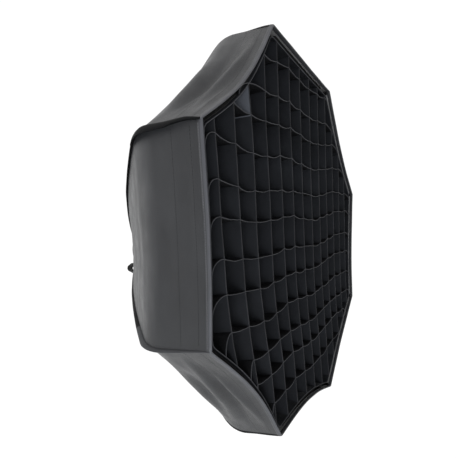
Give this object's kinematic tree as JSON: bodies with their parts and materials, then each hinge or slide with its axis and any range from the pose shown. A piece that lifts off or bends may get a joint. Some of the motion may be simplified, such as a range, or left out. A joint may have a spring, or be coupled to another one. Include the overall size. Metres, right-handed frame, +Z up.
{
  "type": "octabox light modifier",
  "caption": "Deep octagonal softbox on a rotating speedring, with inner and front diffusers and an egg-crate fabric grid.",
  "frame": {"origin": "centre of the mount adapter's rear seating face, where it meets the lamp", "axes": "-Y along the optical axis towards the subject, +Y towards the lamp, +Z up, X across"},
  "size_m": [0.9956, 0.608, 0.9956],
  "materials": {
    "cover_fabric": "black coated nylon, satin outside, silver inside",
    "binding_tape": "black woven binding tape",
    "webbing": "black nylon webbing",
    "hook_tape": "black hook tape",
    "loop_tape": "black loop tape",
    "grid_fabric": "matt black fabric strip with folded edges",
    "diffuser_fabric": "translucent white polyester",
    "diffuser_tape": "white woven edge tape",
    "elastic": "black elastic",
    "spring_steel": "drawn spring steel",
    "socket_steel": "zinc plated steel",
    "cast_alloy": "black powder-coated die casting",
    "adapter_steel": "bright turned alloy",
    "moulded_black": "black nylon moulding",
    "glide_plastic": "natural acetal",
    "shoe_brass": "machined brass"
  },
  "bodies": {
    "adapter": {"mount_adapter": "adapter_steel", "glide_washer": "glide_plastic", "retainer_ring": "adapter_steel", "retainer_screws": "socket_steel"},
    "box": {"speedring": "cast_alloy", "rod_sockets": "socket_steel", "rod_1": "spring_steel", "rod_2": "spring_steel", "rod_3": "spring_steel", "rod_4": "spring_steel", "rod_5": "spring_steel", "rod_6": "spring_steel", "rod_7": "spring_steel", "rod_8": "spring_steel", "rod_tip_caps": "moulded_black", "rod_pockets": "binding_tape", "gore_1": "cover_fabric", "gore_2": "cover_fabric", "gore_3": "cover_fabric", "gore_4": "cover_fabric", "gore_5": "cover_fabric", "gore_6": "cover_fabric", "gore_7": "cover_fabric", "gore_8": "cover_fabric", "seam_bindings": "binding_tape", "mouth_binding": "binding_tape", "neck_cuff": "cover_fabric", "pull_loop": "webbing", "loop_rivets": "socket_steel", "grid_hook_tapes": "hook_tape", "diffuser_hook_tapes": "hook_tape", "inner_diffuser": "diffuser_fabric", "inner_diffuser_hem": "diffuser_tape", "diffuser_straps": "elastic", "strap_hooks": "moulded_black"},
    "lock_knob": {"lock_knob": "moulded_black", "lock_screw": "socket_steel", "screw_clip": "socket_steel"},
    "brake_shoe": {"brake_shoe": "shoe_brass"},
    "grid": {"grid_border": "grid_fabric", "grid_columns": "grid_fabric", "grid_rows": "grid_fabric", "grid_loop_tapes": "loop_tape"},
    "front_diffuser": {"front_diffuser": "diffuser_fabric", "diffuser_hem": "diffuser_tape", "diffuser_loop_tapes": "loop_tape"}
  },
  "joints": [
    {"name": "box_turn", "type": "hinge", "parent": "adapter", "child": "box", "pos_m": [0, -0.011, 0], "axis": [0, 1, 0], "continuous": true},
    {"name": "lock_turn", "type": "hinge", "parent": "box", "child": "lock_knob", "pos_m": [0.09, -0.0115, 0], "axis": [1, 0, 0], "range_deg": [0, 540]},
    {"name": "shoe_slide", "type": "slide", "parent": "box", "child": "brake_shoe", "axis": [1, 0, 0], "range_m": [0, 0.0012]},
    {"name": "grid_off", "type": "slide", "parent": "box", "child": "grid", "axis": [0, -1, 0], "range_m": [0, 0.24]},
    {"name": "diffuser_off", "type": "slide", "parent": "box", "child": "front_diffuser", "axis": [0, -1, 0], "range_m": [0, 0.12]}
  ],
  "couplings": [
    {"joint": "lock_turn", "follows": "shoe_slide", "rad_per_m": 7850},
    {"joint": "diffuser_off", "follows": "grid_off", "ratio": 0.5}
  ]
}
